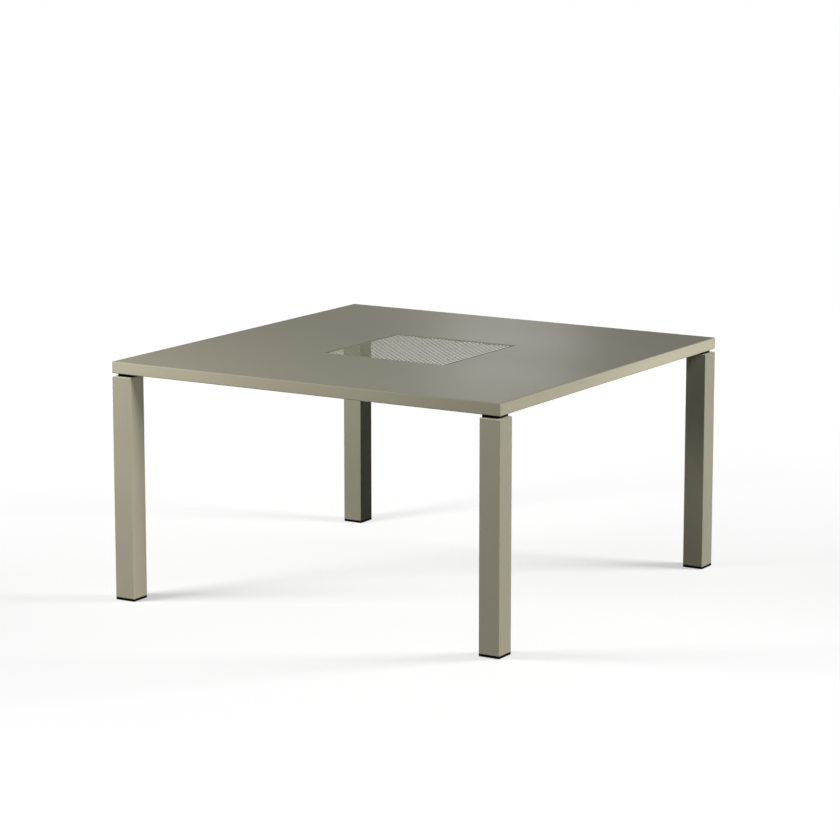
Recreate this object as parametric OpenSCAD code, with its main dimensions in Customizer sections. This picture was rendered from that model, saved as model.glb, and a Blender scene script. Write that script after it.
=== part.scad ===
// Square garden table of powder-coated metal with a see-through grille in the middle.
// Millimetres, +Z up. The origin is on the floor, under the centre of the top.
// Front is -Y, back is +Y, left is -X and right is +X.

/* [Table] */
// Length of each side of the top
top_side = 1374; // [1200:1:1700]
// Height of the top face above the floor
table_h = 750; // [680:1:1100]
// Height of the folded edge of the top
edge_h = 37.5; // [36:0.5:60]

/* [Top panel] */
// Thickness of the folded sheet
sheet_t = 3; // [2:0.5:4]
// Inside radius of the folds
fold_r = 1; // [0.5:0.1:2]
// Radius of the upright corners
corner_r = 1.5; // [0.5:0.1:3]
// Width of the return lip, from the outside face
lip_w = 20; // [17:1:24]
// Side of the square opening for the grille
opening = 440; // [300:2:560]

/* [Frame under the top] */
// Width of the rails behind the edge
rail_w = 30; // [24:1:50]
// Wall of the rails
rail_wall = 2; // [1.5:0.5:4]
// Width of the ribs
rib_w = 40; // [25:1:60]
// Height of the ribs
rib_h = 25; // [15:1:29]
// Wall of the ribs
rib_wall = 2; // [1.5:0.5:4]
// Outside corner radius of rails and ribs
tube_r = 1.5; // [0.5:0.5:3]
// Clear distance from the opening to the nearest rib
rib_clear = 190; // [120:5:240]
// Rivets along each side
rivet_count = 5; // [3:1:9]
// Shank diameter of the rivets
rivet_d = 4.8; // [4:0.1:5]
// Head diameter of the rivets
rivet_head_d = 9; // [7:0.5:9.5]
// Head height of the rivets
rivet_head_h = 1.2; // [0.8:0.1:2]
// Diameter of the set end of the rivets
rivet_set_d = 7; // [6:0.5:8]
// Height of the set end of the rivets
rivet_set_h = 3; // [2:0.5:5]

/* [Corner brackets] */
// Side of the square bracket
bracket_side = 110; // [90:1:150]
// Thickness of the bracket base, which the leg bolts are screwed into
bracket_t = 10; // [8:0.5:14]
// Thickness of the upright walls of the bracket
bracket_wall = 6; // [4:0.5:10]

/* [Legs] */
// Outside width of the square leg tube
leg_w = 69; // [62:1:90]
// Wall of the leg tube
leg_wall = 3; // [2:0.5:4]
// Outside corner radius of the leg tube
leg_r = 2; // [1:0.5:3]
// Thickness of the plate welded into the top of the leg
leg_plate_t = 8; // [5:0.5:14]
// Height of the spacer between leg and top
spacer_h = 9; // [5:0.5:16]
// Distance that the spacer is set back from the outer faces of the leg
spacer_set_back = 13; // [8:0.5:18]
// Distance that the spacer is set back from the inner faces of the leg
spacer_inner_gap = 0.5; // [0:0.5:4]

/* [Leg bolts] */
// Diameter of the bolts
bolt_d = 8; // [6:1:8]
// Distance between neighbouring bolts of one leg
bolt_span = 22; // [18:1:24]
// Diameter of the bolt heads
bolt_head_d = 13; // [12:0.5:14]
// Height of the bolt heads
bolt_head_h = 8; // [6:0.5:9]
// Width across flats of the socket in the bolt heads
bolt_socket = 6; // [5:1:8]
// Depth of the socket in the bolt heads
bolt_socket_h = 4; // [3:0.5:5]
// Outside diameter of the washers
washer_d = 15; // [14:0.5:16]
// Thickness of the washers
washer_t = 1.6; // [1:0.1:2.5]

/* [Feet] */
// Height of the foot cap that shows below the leg
foot_h = 6.5; // [4:0.5:12]
// Height of the foot cap above the floor with the glide wound in
foot_clear = 1; // [0.5:0.5:3]
// Height of the plug of the foot cap inside the leg
plug_h = 24; // [21:1:40]
// Wall of the plug
plug_wall = 4; // [3:0.5:6]
// Width of the ribs and the web in the plug
plug_rib = 3; // [2:0.5:5]
// Diameter of the boss in the plug
boss_d = 22; // [19:0.5:28]

/* [Levelling glides] */
// Distance that a glide winds down
glide_travel = 10; // [5:1:20]
// Diameter of the glide pad
pad_d = 40; // [30:1:50]
// Thickness of the glide pad
pad_t = 5; // [4:0.5:8]
// Diameter of the levelling stud
stud_d = 10; // [8:1:10]
// Diameter of the disc under the stud, which sits in the pad
stud_foot_d = 20; // [16:1:24]
// Thickness of that disc
stud_foot_t = 3; // [2:0.5:3.5]
// Outside diameter of the barrel of the threaded insert
barrel_d = 14; // [13:0.5:16]
// Length of the barrel of the threaded insert
barrel_h = 16; // [12:1:20]
// Diameter of the flange of the threaded insert
flange_d = 20; // [18:0.5:26]
// Thickness of the flange of the threaded insert
flange_t = 1.5; // [1:0.5:3]

/* [Grille] */
// Diameter of the grille rods
rod_d = 3.5; // [2.5:0.1:4]
// Distance between neighbouring rods
rod_pitch = 14; // [8:0.5:24]
// Gap between the grille and the edge of the opening
grille_gap = 1; // [0.5:0.5:3]
// Width of the end bars
end_bar_w = 3.5; // [3:0.5:6]
// Height of the end bars
end_bar_h = 4; // [4:0.5:8]

/* [Grille brackets] */
// Brackets along the front and along the back of the opening
bracket_count = 3; // [2:1:5]
// Length of each bracket, along the edge of the opening
seat_w = 40; // [36:1:60]
// Thickness of the brackets
seat_t = 2; // [1.5:0.5:3]
// Width of the bracket flange under the sheet
seat_flange = 28; // [24:1:40]
// Depth of the seat from the edge of the opening, where the end bar rests
seat_reach = 4; // [3.5:0.5:6]
// Thickness of the rubber rests
rest_t = 1; // [0.5:0.5:3]
// Length of the rubber rests
rest_w = 24; // [12:1:34]
// Diameter of the weld studs
weld_stud_d = 4; // [3:0.5:5]
// Distance between the two weld studs of a bracket
weld_stud_span = 24; // [18:1:26]
// Height of the nuts on the weld studs
nut_h = 3.2; // [2.5:0.1:5]
// Width of the nuts across flats
nut_flats = 7; // [7:0.5:9]

/* [Fits] */
// Gap round pieces that are pressed or slid into a tube
slip = 0.2; // [0.1:0.05:0.5]
// Gap left between a moving piece and what it comes to rest on
rest_gap = 0.3; // [0.2:0.05:0.6]
// Gap on the radius between a stud or bolt and its thread
thread_gap = 0.05; // [0.02:0.01:0.08]
// Gap on the radius round a bolt or rivet that passes through a hole
hole_gap = 0.3; // [0.1:0.05:0.5]

/* [Hidden] */
$fn = 48;
// Distance that a cut runs past the face it opens
over = 1;

// Heights of the top and what hangs under it
slab_z = table_h - edge_h;
sheet_under = table_h - sheet_t;
lip_top = slab_z + sheet_t;
rail_h = sheet_under - lip_top;

// Places of the top's edge, as distances from the centre
half = top_side / 2;
lip_in = half - lip_w;
frame_out = half - sheet_t - fold_r - slip;
bracket_in = frame_out - bracket_side;
rail_y = frame_out - rail_w / 2;
rail_in = frame_out - rail_w;
rivet_y = frame_out - rail_wall - rivet_set_d / 2 - slip;
rib_c = opening / 2 + rib_clear + rib_w / 2;
rail_len = 2 * bracket_in;

// Legs
leg_top = slab_z - spacer_h;
leg_bottom = foot_clear + foot_h;
leg_c = half - leg_w / 2;
leg_in = leg_w - 2 * leg_wall;
spacer_in = half - leg_w + spacer_inner_gap;
spacer_w = half - spacer_set_back - spacer_in;
key_out = lip_in - slip;
bolt_c = (leg_c - leg_in / 2 + key_out) / 2;
bolt_hole_d = bolt_d + 2 * hole_gap;
washer_z = leg_top - leg_plate_t - washer_t;
bolt_tip = lip_top + bracket_t - over;

// Feet and glides
seat_z = pad_t + rest_gap + flange_t;
hollow_z = max(leg_bottom, seat_z) + plug_rib;
plug_w = leg_in - 2 * slip;
recess_d = pad_d + 6 * over;
stud_top = seat_z + barrel_h + glide_travel + 2 * over;

// Grille
bar_out = opening / 2 - grille_gap;
bar_in = bar_out - end_bar_w;
rods_each_side = floor((bar_out - rod_d / 2) / rod_pitch);
rest_top = table_h - end_bar_h - rest_gap;
seat_top = rest_top - rest_t;
web_in = opening / 2 + 2 * over;
weld_stud_y = web_in + seat_t + (seat_flange - seat_t) / 2;
bracket_step = (opening - 2 * seat_w) / bracket_count;
weld_stud_l = seat_t + nut_h + 3 * over;

// Colours
coat = [0.62, 0.61, 0.54];
black = [0.09, 0.09, 0.09];
steel = [0.70, 0.71, 0.72];
cast = [0.58, 0.58, 0.57];
brass = [0.72, 0.60, 0.32];

// Each corner and side with the turn that takes a piece there from the back right or the back
corners = [["back_right", 0], ["back_left", 90], ["front_left", 180], ["front_right", 270]];
sides = [["back", 0], ["left", 90], ["front", 180], ["right", 270]];
corner_kinds = [
    "leg_tube", "leg_plate", "spacer", "corner_bracket",
    "foot_cap", "foot_insert", "glide_stud", "glide_pad"
];

// Rectangle with round corners, centred on the origin
module rounded_rect(w, h, r) {
    square([w - 2 * r, h], center = true);
    square([w, h - 2 * r], center = true);
    for (x = [-1, 1], y = [-1, 1])
        translate([x * (w / 2 - r), y * (h / 2 - r)])
            circle(r);
}

// Square slab, centred on the origin, with round long edges and round upright corners
module slab(side, h, r_edge, r_upright) {
    intersection() {
        rotate([90, 0, 0])
            linear_extrude(side + over, center = true)
                rounded_rect(side, h, r_edge);
        rotate([90, 0, 90])
            linear_extrude(side + over, center = true)
                rounded_rect(side, h, r_edge);
        linear_extrude(h + over, center = true)
            rounded_rect(side, side, r_upright);
    }
}

// Box tube along X, centred on the origin
module box_tube(length, w, h, wall) {
    rotate([90, 0, 90])
        linear_extrude(length, center = true)
            difference() {
                rounded_rect(w, h, tube_r);
                square([w - 2 * wall, h - 2 * wall], center = true);
            }
}

// Puts its children at each rivet of the back edge
module at_rivets() {
    for (i = [0 : rivet_count - 1])
        translate([(i - (rivet_count - 1) / 2) * rail_len / rivet_count, rivet_y, 0])
            children();
}

// Puts its children at each bolt of the back right leg
module at_leg_bolts() {
    for (x = [-1, 1], y = [-1, 1])
        translate([bolt_c + x * bolt_span / 2, bolt_c + y * bolt_span / 2, 0])
            children();
}

// Puts its children at each bracket along the back of the opening, and again at the front
module at_grille_brackets() {
    for (turn = [0, 180], i = [0 : bracket_count - 1])
        rotate(turn)
            translate([(i - (bracket_count - 1) / 2) * bracket_step, 0, 0])
                children();
}

// Puts its children at the two weld studs of a bracket
module at_weld_studs() {
    for (x = [-1, 1])
        translate([x * weld_stud_span / 2, weld_stud_y, 0])
            children();
}

// Folded sheet with its edge, return lips, square opening and rivet holes
module top_panel() {
    color(coat)
        difference() {
            translate([0, 0, table_h - edge_h / 2])
                slab(top_side, edge_h, fold_r + sheet_t, corner_r);
            translate([0, 0, table_h - edge_h / 2])
                slab(top_side - 2 * sheet_t, edge_h - 2 * sheet_t, fold_r, fold_r);
            translate([0, 0, slab_z + sheet_t / 2])
                cube([2 * lip_in, 2 * lip_in, sheet_t + 2 * over], center = true);
            translate([0, 0, sheet_under + sheet_t / 2])
                cube([opening, opening, sheet_t + 2 * over], center = true);
            for (s = sides)
                rotate(s[1])
                    at_rivets()
                        translate([0, 0, slab_z - over])
                            cylinder(d = rivet_d + 2 * thread_gap, h = sheet_t + 2 * over);
        }
}

// Box rail behind the edge, between two corner brackets
module rail() {
    color(coat)
        difference() {
            translate([0, rail_y, lip_top + rail_h / 2])
                box_tube(rail_len, rail_w, rail_h, rail_wall);
            at_rivets()
                translate([0, 0, lip_top - over])
                    cylinder(d = rivet_d + 2 * thread_gap, h = rail_wall + 2 * over);
        }
}

// Rib at the back of the opening, between the two long ribs
module short_rib() {
    color(coat)
        translate([0, rib_c, sheet_under - rib_h / 2])
            box_tube(2 * rib_c - rib_w, rib_w, rib_h, rib_wall);
}

// Rib at the left of the opening, from the front rail to the back rail
module long_rib() {
    color(coat)
        translate([0, rib_c, sheet_under - rib_h / 2])
            box_tube(2 * rail_in, rib_w, rib_h, rib_wall);
}

// Blind rivets that hold the lips to the rails
module lip_rivets() {
    color(steel)
        for (s = sides)
            rotate(s[1])
                at_rivets()
                    rivet();
}

// Blind rivet with its head under the lip and its set end in the rail
module rivet() {
    head_edge = rivet_head_h / 3;
    translate([0, 0, slab_z - rivet_head_h])
        cylinder(d1 = rivet_head_d / 2, d2 = rivet_head_d, h = rivet_head_h - head_edge);
    translate([0, 0, slab_z - head_edge])
        cylinder(d = rivet_head_d, h = head_edge);
    translate([0, 0, slab_z - head_edge])
        cylinder(d = rivet_d, h = head_edge + sheet_t + rail_wall + over);
    translate([0, 0, lip_top + rail_wall])
        cylinder(d = rivet_set_d, h = rivet_set_h);
}

// Cast bracket in the corner of the top: a base on the lips and two upright walls
module corner_bracket() {
    color(cast)
        difference() {
            translate([bracket_in, bracket_in, lip_top])
                union() {
                    cube([bracket_side, bracket_side, bracket_t]);
                    cube([bracket_side, bracket_wall, rail_h]);
                    cube([bracket_wall, bracket_side, rail_h]);
                }
            at_leg_bolts()
                translate([0, 0, lip_top - over])
                    cylinder(d = bolt_d + 2 * thread_gap, h = bracket_t + 2 * over);
        }
}

// Spacer on the leg, with a raised key that fits between the lips
module spacer() {
    color(black)
        difference() {
            union() {
                translate([spacer_in, spacer_in, leg_top])
                    cube([spacer_w, spacer_w, spacer_h]);
                translate([spacer_in, spacer_in, leg_top])
                    cube([key_out - spacer_in, key_out - spacer_in, spacer_h + sheet_t]);
            }
            at_leg_bolts()
                translate([0, 0, leg_top - over])
                    cylinder(d = bolt_hole_d, h = spacer_h + sheet_t + 2 * over);
        }
}

// Square leg tube
module leg_tube() {
    color(coat)
        translate([leg_c, leg_c, leg_bottom])
            linear_extrude(leg_top - leg_bottom)
                difference() {
                    rounded_rect(leg_w, leg_w, leg_r);
                    square(leg_in, center = true);
                }
}

// Plate welded into the top of the leg, with the bolt holes
module leg_plate() {
    color(coat)
        difference() {
            translate([leg_c, leg_c, leg_top - leg_plate_t / 2])
                cube([leg_in, leg_in, leg_plate_t], center = true);
            at_leg_bolts()
                translate([0, 0, leg_top - leg_plate_t - over])
                    cylinder(d = bolt_hole_d, h = leg_plate_t + 2 * over);
        }
}

// Socket head bolts, put in from inside the legs
module leg_bolts() {
    color(steel)
        for (c = corners)
            rotate(c[1])
                at_leg_bolts()
                    difference() {
                        union() {
                            translate([0, 0, washer_z - bolt_head_h])
                                cylinder(d = bolt_head_d, h = bolt_head_h);
                            translate([0, 0, washer_z - over])
                                cylinder(d = bolt_d, h = bolt_tip - washer_z + over);
                        }
                        translate([0, 0, washer_z - bolt_head_h - over])
                            cylinder(d = bolt_socket / cos(30), h = bolt_socket_h + over, $fn = 6);
                    }
}

// Washers under the bolt heads
module leg_washers() {
    color(steel)
        for (c = corners)
            rotate(c[1])
                at_leg_bolts()
                    translate([0, 0, washer_z])
                        difference() {
                            cylinder(d = washer_d, h = washer_t);
                            translate([0, 0, -over])
                                cylinder(d = bolt_hole_d, h = washer_t + 2 * over);
                        }
}

// Foot cap: a square flange under the leg, a ribbed plug inside it and a recess for the glide
module foot_cap() {
    plug_top = leg_bottom + plug_h;
    color(black)
        translate([leg_c, leg_c, 0])
            difference() {
                union() {
                    translate([0, 0, foot_clear])
                        linear_extrude(foot_h)
                            rounded_rect(leg_w, leg_w, leg_r);
                    translate([0, 0, foot_clear])
                        linear_extrude(plug_top - foot_clear)
                            square(plug_w, center = true);
                }
                translate([0, 0, hollow_z])
                    linear_extrude(plug_h)
                        difference() {
                            square(plug_w - 2 * plug_wall, center = true);
                            circle(d = boss_d);
                            square([plug_w, plug_rib], center = true);
                            square([plug_rib, plug_w], center = true);
                        }
                translate([0, 0, foot_clear - over])
                    cylinder(d = recess_d, h = seat_z - foot_clear + over);
                cylinder(d = barrel_d + 2 * thread_gap, h = seat_z + barrel_h + slip);
                cylinder(d = stud_d + 2 * hole_gap, h = plug_top + over);
            }
}

// Threaded insert of the foot, with its flange under the web of the cap
module foot_insert() {
    color(brass)
        translate([leg_c, leg_c, seat_z])
            difference() {
                union() {
                    translate([0, 0, -flange_t])
                        cylinder(d = flange_d, h = flange_t);
                    translate([0, 0, -flange_t])
                        cylinder(d = barrel_d, h = flange_t + barrel_h);
                }
                translate([0, 0, -flange_t - over])
                    cylinder(d = stud_d + 2 * thread_gap, h = flange_t + barrel_h + 2 * over);
            }
}

// Levelling stud, with the disc that sits in the glide pad
module glide_stud() {
    color(steel)
        translate([leg_c, leg_c, 0]) {
            translate([0, 0, pad_t - stud_foot_t])
                cylinder(d = stud_foot_d, h = stud_foot_t);
            translate([0, 0, pad_t - over])
                cylinder(d = stud_d, h = stud_top - pad_t);
            translate([0, 0, stud_top - over])
                cylinder(d1 = stud_d, d2 = stud_d - 2 * over, h = over);
        }
}

// Glide pad on the floor, with a chamfer round its foot
module glide_pad() {
    color(black)
        translate([leg_c, leg_c, 0])
            difference() {
                union() {
                    cylinder(d1 = pad_d - 2 * over, d2 = pad_d, h = over);
                    translate([0, 0, over])
                        cylinder(d = pad_d, h = pad_t - over);
                }
                translate([0, 0, pad_t - stud_foot_t])
                    cylinder(d = stud_foot_d + 2 * thread_gap, h = stud_foot_t + over);
            }
}

// Round rods of the grille, level with the top face
module grille_rods() {
    color(coat)
        for (i = [-rods_each_side : rods_each_side])
            translate([i * rod_pitch, 0, table_h - rod_d / 2])
                rotate([90, 0, 0])
                    cylinder(d = rod_d, h = 2 * bar_in, center = true);
}

// Bar welded across the back ends of the rods
module grille_bar() {
    color(coat)
        translate([-bar_out, bar_in, table_h - end_bar_h])
            cube([2 * bar_out, end_bar_w, end_bar_h]);
}

// Stepped brackets under the opening's back and front edges
module grille_brackets() {
    web_out = web_in + seat_t;
    bar_edge = opening / 2 - seat_reach;
    flange_out = web_in + seat_flange;
    seat_under = seat_top - seat_t;
    flange_under = sheet_under - seat_t;
    color(coat)
        at_grille_brackets()
            difference() {
                rotate([90, 0, 90])
                    linear_extrude(seat_w, center = true)
                        polygon([
                            [bar_edge, seat_under],
                            [web_out, seat_under],
                            [web_out, flange_under],
                            [flange_out, flange_under],
                            [flange_out, sheet_under],
                            [web_in, sheet_under],
                            [web_in, seat_top],
                            [bar_edge, seat_top]
                        ]);
                at_weld_studs()
                    translate([0, 0, flange_under - over])
                        cylinder(d = weld_stud_d + 2 * hole_gap, h = seat_t + 2 * over);
            }
}

// Studs welded under the sheet
module bracket_studs() {
    color(steel)
        at_grille_brackets()
            at_weld_studs()
                translate([0, 0, sheet_under - weld_stud_l])
                    cylinder(d = weld_stud_d, h = weld_stud_l);
}

// Nuts on the weld studs
module bracket_nuts() {
    color(steel)
        at_grille_brackets()
            at_weld_studs()
                translate([0, 0, sheet_under - seat_t - nut_h])
                    difference() {
                        cylinder(d = nut_flats / cos(30), h = nut_h, $fn = 6);
                        translate([0, 0, -over])
                            cylinder(d = weld_stud_d + 2 * thread_gap, h = nut_h + 2 * over);
                    }
}

// Rubber rests on the brackets
module grille_rests() {
    color(black)
        at_grille_brackets()
            translate([-rest_w / 2, opening / 2 - seat_reach, seat_top])
                cube([rest_w, seat_reach + over, rest_t]);
}

top_panel();
for (s = sides)
    rotate(s[1]) rail();
short_rib();  // rib_back
rotate(180) short_rib();  // rib_front
rotate(90) long_rib();  // rib_left
rotate(270) long_rib();  // rib_right
for (c = corners) {
    rotate(c[1]) leg_tube();
    rotate(c[1]) leg_plate();
    rotate(c[1]) spacer();
    rotate(c[1]) corner_bracket();
    rotate(c[1]) foot_cap();
    rotate(c[1]) foot_insert();
    rotate(c[1]) glide_stud();
    rotate(c[1]) glide_pad();
}
leg_bolts();
leg_washers();
lip_rivets();
grille_rods();
grille_bar();  // grille_bar_back
rotate(180) grille_bar();  // grille_bar_front
grille_brackets();
bracket_studs();
bracket_nuts();
grille_rests();
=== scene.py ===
import math

import bmesh
import bpy
from mathutils import Euler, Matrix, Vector


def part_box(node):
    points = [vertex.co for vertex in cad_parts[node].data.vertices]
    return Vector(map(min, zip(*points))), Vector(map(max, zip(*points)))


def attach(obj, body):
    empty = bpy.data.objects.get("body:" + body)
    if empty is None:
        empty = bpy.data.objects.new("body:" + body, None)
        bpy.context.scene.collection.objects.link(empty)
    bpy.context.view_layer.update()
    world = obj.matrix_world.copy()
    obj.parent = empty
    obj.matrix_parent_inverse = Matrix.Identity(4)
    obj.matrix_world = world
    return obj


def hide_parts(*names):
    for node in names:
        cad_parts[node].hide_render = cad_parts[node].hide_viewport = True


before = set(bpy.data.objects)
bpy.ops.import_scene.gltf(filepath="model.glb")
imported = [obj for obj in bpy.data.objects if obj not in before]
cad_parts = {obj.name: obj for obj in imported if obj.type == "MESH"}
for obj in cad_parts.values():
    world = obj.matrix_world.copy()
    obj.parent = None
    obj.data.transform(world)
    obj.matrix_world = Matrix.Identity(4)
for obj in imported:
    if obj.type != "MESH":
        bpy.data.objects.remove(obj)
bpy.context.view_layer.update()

# Units and small distances, in metres
MM = 0.001
TINY = 0.00002
OVER = 1 * MM

# How closely a face has to look along an axis to be picked
STRAIGHT = 0.999

# The turn about the centre that takes a piece from the back right corner, or the back, to each place
CORNERS = {"back_right": 0, "back_left": 90, "front_left": 180, "front_right": 270}
SIDES = {"back": 0, "left": 90, "front": 180, "right": 270}

# Places read from the frame
panel_low, panel_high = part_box("top_panel")
rail_low, rail_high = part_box("rail_back")
long_rib_low, long_rib_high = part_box("rib_right")
short_rib_low, short_rib_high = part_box("rib_back")
casting_low, casting_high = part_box("corner_bracket_back_right")
leg_low, leg_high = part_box("leg_tube_back_right")
spacer_low, spacer_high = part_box("spacer_back_right")
pad_low, pad_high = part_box("glide_pad_back_right")
stud_low, stud_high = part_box("glide_stud_back_right")
bar_low, bar_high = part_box("grille_bar_back")
rods_low, rods_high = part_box("grille_rods")
shelf_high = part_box("grille_brackets")[1]
rest_low, rest_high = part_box("grille_rests")
weld_stud_low, weld_stud_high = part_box("bracket_studs")
nut_low, nut_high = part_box("bracket_nuts")
rivet_low, rivet_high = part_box("lip_rivets")

half = panel_high.x
top_z = panel_high.z
under_z = panel_low.z
sheet = top_z - rail_high.z
leg_centre = (leg_low.x + leg_high.x) / 2

# Sizes of the top
FOLD_R = 4 * MM
CORNER_R = 1.5 * MM
LIP_W = 20 * MM
GRILLE_GAP = 1 * MM
lip_in = half - LIP_W
opening = bar_high.x + GRILLE_GAP

# Sizes of the frame under the top
TUBE_R = 1.5 * MM
TUBE_WALL = 2 * MM
BEAD_W = 3.2 * MM
RIVET_D = 4.8 * MM
RIVET_HEAD_D = 9 * MM
RIVET_DOME = 0.8 * MM
RIVET_SET_D = 7 * MM
RIVET_SET_H = 3 * MM
RIVET_COUNT = 5
RIVET_PIN_R = 1.3 * MM
RIVET_PIN_RIM = 0.15 * MM
RIVET_PIN_HOLE = 0.5 * MM
RIVET_PIN_STUB = 0.3 * MM
CASTING_BASE = 10 * MM
CASTING_WALL = 6 * MM
CASTING_FILLET = 3 * MM
BOLT_D = 8 * MM
BOLT_HOLE_D = 8.6 * MM
BOLT_SPAN = 22 * MM

# Sizes of the legs and feet
LEG_WALL = 3 * MM
LEG_R = 2 * MM
SPACER_R = 1.5 * MM
KEY_GAP = 0.2 * MM
STUD_D = 10 * MM
STUD_PITCH = 1.5 * MM
STUD_FOOT_D = 20 * MM
STUD_FOOT_T = 3 * MM
PAD_R = 1 * MM

# Sizes of the grille and its brackets
ROD_D = 3.5 * MM
ROD_PITCH = 14 * MM
ROD_WELD = 1.2 * MM
SHELF_W = 40 * MM
SHELF_T = 2 * MM
SHELF_COUNT = 3
WEB_SET_BACK = 2 * MM
REST_W = 24 * MM
REST_DEEP = 5 * MM
WELD_STUD_D = 4 * MM
WELD_STUD_PITCH = 0.7 * MM
WELD_STUD_SPAN = 24 * MM
WELD_STUD_GAP = 0.6 * MM
NUT_FLATS = 7 * MM

# A weld ripple's distance from the next, as a share of its width, and how much a rod swells at its weld
RIPPLE_STEP = 0.45
ROD_SWELL = 1.35

# A thread's depth, and where its crest starts and ends, as shares of the pitch
THREAD_DEPTH = 0.61
CREST_START = 0.44
CREST_END = 0.56

# The part of a noise's range that is spread over a finish
NOISE_LOW = 0.3
NOISE_HIGH = 0.7

# Widths of the broken edges
FINE_EDGE = 0.3 * MM
TUBE_EDGE = 0.25 * MM
CASTING_EDGE = 0.9 * MM
LEG_EDGE = 0.5 * MM
MOULDED_EDGE = 0.35 * MM
PAD_EDGE = 0.4 * MM
BAR_EDGE = 0.5 * MM
SHELF_EDGE = 0.45 * MM

# The camera, at the photograph's viewing angle, with its turns in degrees
CAMERA_SPOT = (5.1006, -8.3225, 2.3801)
CAMERA_TILT = 79.232
CAMERA_TURN = 31.51
CAMERA_REACH = 200
LENS = 135.4
SENSOR_W = 36

# The two lamps that throw the shadows: the left one stands where the streaks of three legs meet,
# the low one where the others do
LEFT_SPOT = (-1.84, -2.0, 1.4)
LEFT_POWER = 60
LOW_SPOT = (3.3, 1.85, 0.5)
LOW_POWER = 290
LAMP_AIM = Vector((0, 0, 0.5))

# The floor: its size and grey, how far out it turns plain white, and the painted soft shade under the
# table
FLOOR_SIZE = 160
FLOOR_GREY = 0.65
FLOOR_BOUNCE = 0.02
WHITE_FROM = 2.5
WHITE_TO = 3.4
SHADE_REACH = 0.9
SHADE_DEPTH = 0.22

# How the white behind the table fades to grey overhead
FADE_FROM = 0.08
FADE_TO = 0.45
FADE_GREY = 0.4

# Places worked out from the sizes
key_out = lip_in - KEY_GAP
bolt_centre = (leg_low.x + LEG_WALL + key_out) / 2
bolt_spots = [
    (bolt_centre + x * BOLT_SPAN / 2, bolt_centre + y * BOLT_SPAN / 2)
    for x in (-1, 1)
    for y in (-1, 1)
]
rivet_y = rivet_high.y - RIVET_HEAD_D / 2
rivet_step = (rail_high.x - rail_low.x) / RIVET_COUNT
rivet_spots = [((i - (RIVET_COUNT - 1) / 2) * rivet_step, rivet_y) for i in range(RIVET_COUNT)]
shelf_step = (2 * opening - 2 * SHELF_W) / SHELF_COUNT
shelf_spots = [(i - (SHELF_COUNT - 1) / 2) * shelf_step for i in range(SHELF_COUNT)]
weld_stud_y = weld_stud_high.y - WELD_STUD_D / 2


# Working at the bench

def only(piece):
    """Selects one piece and nothing else."""
    bpy.ops.object.select_all(action="DESELECT")
    piece.select_set(True)
    bpy.context.view_layer.objects.active = piece


def settle(piece, name=None):
    """Puts a piece's place and turn into its mesh, so that its object sits at the origin."""
    only(piece)
    bpy.ops.object.transform_apply(location=True, rotation=True, scale=True)
    if name:
        piece.name = name
        piece.data.name = name
    return piece


def block(name, low, high):
    """A box between two corners, as a start."""
    low, high = Vector(low), Vector(high)
    bpy.ops.object.select_all(action="DESELECT")
    bpy.ops.mesh.primitive_cube_add(size=1, location=(low + high) / 2)
    piece = bpy.context.object
    piece.scale = high - low
    return settle(piece, name)


def round_bar(name, spot, low, high, diameter, sides=32):
    """An upright cylinder over a spot, as a start."""
    bpy.ops.object.select_all(action="DESELECT")
    bpy.ops.mesh.primitive_cylinder_add(
        vertices=sides,
        radius=diameter / 2,
        depth=high - low,
        location=(spot[0], spot[1], (low + high) / 2),
    )
    return settle(bpy.context.object, name)


def edit(piece, kind="FACE"):
    """Opens a piece for editing with nothing selected."""
    only(piece)
    bpy.ops.object.mode_set(mode="EDIT")
    bpy.ops.mesh.select_mode(type=kind)
    bpy.ops.mesh.select_all(action="DESELECT")


def done():
    """Closes the piece that is being edited."""
    bpy.ops.object.mode_set(mode="OBJECT")


def pick_faces(piece, test):
    """Selects the faces whose middle and normal pass a test."""
    bpy.ops.mesh.select_mode(type="FACE")
    mesh = bmesh.from_edit_mesh(piece.data)
    for face in mesh.faces:
        face.select_set(test(face.calc_center_median(), face.normal))
    bmesh.update_edit_mesh(piece.data)


def pick_edges(piece, test):
    """Selects the edges whose two ends pass a test."""
    bpy.ops.mesh.select_mode(type="EDGE")
    mesh = bmesh.from_edit_mesh(piece.data)
    for edge in mesh.edges:
        edge.select_set(test(edge.verts[0].co, edge.verts[1].co))
    bmesh.update_edit_mesh(piece.data)


def is_upright(a, b):
    """True for an edge that stands upright."""
    return abs(a.x - b.x) < TINY and abs(a.y - b.y) < TINY


def all_round(spots):
    """Spots on the back, and the same ones on the other three sides."""
    found = []
    for turn in SIDES.values():
        for x, y in spots:
            spot = Vector((x, y, 0))
            spot.rotate(Euler((0, 0, math.radians(turn))))
            found.append((spot.x, spot.y))
    return found


def bevel(width, segments):
    """Rounds the selected edges."""
    bpy.ops.mesh.bevel(offset=width, segments=segments, affect="EDGES", clamp_overlap=False)


def push(x=0, y=0, z=0):
    """Extrudes what is selected by a distance."""
    bpy.ops.mesh.extrude_region_move(TRANSFORM_OT_translate={"value": (x, y, z)})


def modify(piece, kind, **settings):
    """Adds a modifier, sets it and applies it."""
    only(piece)
    bpy.ops.object.modifier_add(type=kind)
    added = piece.modifiers[-1]
    for name, value in settings.items():
        setattr(added, name, value)
    bpy.ops.object.modifier_apply(modifier=added.name)


def soften(piece, width, angle=40, segments=2):
    """Takes the sharpness off the edges that turn by more than an angle."""
    modify(
        piece,
        "BEVEL",
        width=width,
        segments=segments,
        limit_method="ANGLE",
        angle_limit=math.radians(angle),
        use_clamp_overlap=True,
    )


def smooth(piece, angle=35):
    """Shades a piece smooth, with its flat faces kept flat."""
    only(piece)
    bpy.ops.object.shade_smooth_by_angle(angle=math.radians(angle))
    modify(piece, "WEIGHTED_NORMAL", keep_sharp=True)


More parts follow.
